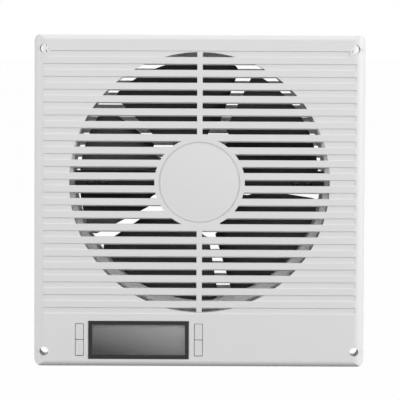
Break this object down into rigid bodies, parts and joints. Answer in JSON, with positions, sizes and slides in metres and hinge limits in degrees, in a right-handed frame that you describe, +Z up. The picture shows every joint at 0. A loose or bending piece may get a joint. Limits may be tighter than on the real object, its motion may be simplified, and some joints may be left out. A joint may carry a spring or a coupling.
{
  "type": "room to room fan",
  "caption": "Through-wall fan: square slotted panel with display and keys, impeller on a bracket, telescoping round duct and a passive rear grille.",
  "frame": {"origin": "centre of the four wall screw holes of the fan side, on the plane of the wall", "axes": "+X to the right seen from the room, +Y through the wall away from the display side, +Z up"},
  "size_m": [0.26, 0.1648, 0.2616],
  "materials": {
    "cover_plastic": "satin moulded white ABS",
    "button_plastic": "satin moulded white ABS",
    "frame_plastic": "fine texture",
    "duct_plastic": "smooth white",
    "screw_steel": "zinc plated",
    "foam": "closed-cell foam",
    "bezel_plastic": "polished black",
    "lens": "clear, tinted",
    "module": "grey liquid crystal glass",
    "board": "solder mask",
    "components": "moulded",
    "bracket_steel": "black powder coat",
    "cast_metal": "die cast",
    "bearing_steel": "ground steel",
    "core_steel": "pressed steel",
    "copper": "enamelled wire",
    "lead_sheath": "vinyl sheath",
    "impeller_plastic": "glossy black",
    "magnet": "bonded ferrite"
  },
  "bodies": {
    "housing": {"front_cover": "cover_plastic", "back_frame": "frame_plastic", "duct_collar": "frame_plastic", "cover_screws": "screw_steel", "wall_gasket": "foam", "front_sleeve": "duct_plastic", "front_sleeve_screws": "screw_steel", "display_bezel": "bezel_plastic", "display_lens": "lens", "display_module": "module", "control_board": "board", "board_components": "components", "board_screws": "screw_steel", "tact_switches": "components", "motor_bracket": "bracket_steel", "bracket_screws": "screw_steel", "motor_base": "cast_metal", "motor_screws": "screw_steel", "front_bearing": "bearing_steel", "rear_bearing": "bearing_steel", "stator_core": "core_steel", "motor_windings": "copper", "motor_board": "board", "motor_lead": "lead_sheath", "power_inlet": "components", "power_lead": "lead_sheath"},
    "impeller": {"impeller": "impeller_plastic", "impeller_screws": "screw_steel", "rotor_cup": "core_steel", "rotor_magnet": "magnet", "motor_shaft": "bearing_steel", "shaft_clip": "bearing_steel"},
    "rear_section": {"rear_grille": "cover_plastic", "rear_sleeve": "duct_plastic", "rear_sleeve_screws": "screw_steel", "rear_gasket": "foam"},
    "button_upper_left": {"button_upper_left": "button_plastic", "plunger_upper_left": "components"},
    "button_upper_right": {"button_upper_right": "button_plastic", "plunger_upper_right": "components"},
    "button_lower_left": {"button_lower_left": "button_plastic", "plunger_lower_left": "components"},
    "button_lower_right": {"button_lower_right": "button_plastic", "plunger_lower_right": "components"}
  },
  "joints": [
    {"name": "impeller_spin", "type": "hinge", "parent": "housing", "child": "impeller", "pos_m": [0, 0.023, 0.0142], "axis": [0, 1, 0], "continuous": true},
    {"name": "wall_thickness_slide", "type": "slide", "parent": "housing", "child": "rear_section", "axis": [0, 1, 0], "range_m": [-0.024, 0.036]},
    {"name": "button_upper_left_press", "type": "slide", "parent": "housing", "child": "button_upper_left", "axis": [0, 1, 0], "range_m": [0, 0.0008], "stiffness_N_per_m": 500},
    {"name": "button_upper_right_press", "type": "slide", "parent": "housing", "child": "button_upper_right", "axis": [0, 1, 0], "range_m": [0, 0.0008], "stiffness_N_per_m": 500},
    {"name": "button_lower_left_press", "type": "slide", "parent": "housing", "child": "button_lower_left", "axis": [0, 1, 0], "range_m": [0, 0.0008], "stiffness_N_per_m": 500},
    {"name": "button_lower_right_press", "type": "slide", "parent": "housing", "child": "button_lower_right", "axis": [0, 1, 0], "range_m": [0, 0.0008], "stiffness_N_per_m": 500}
  ]
}
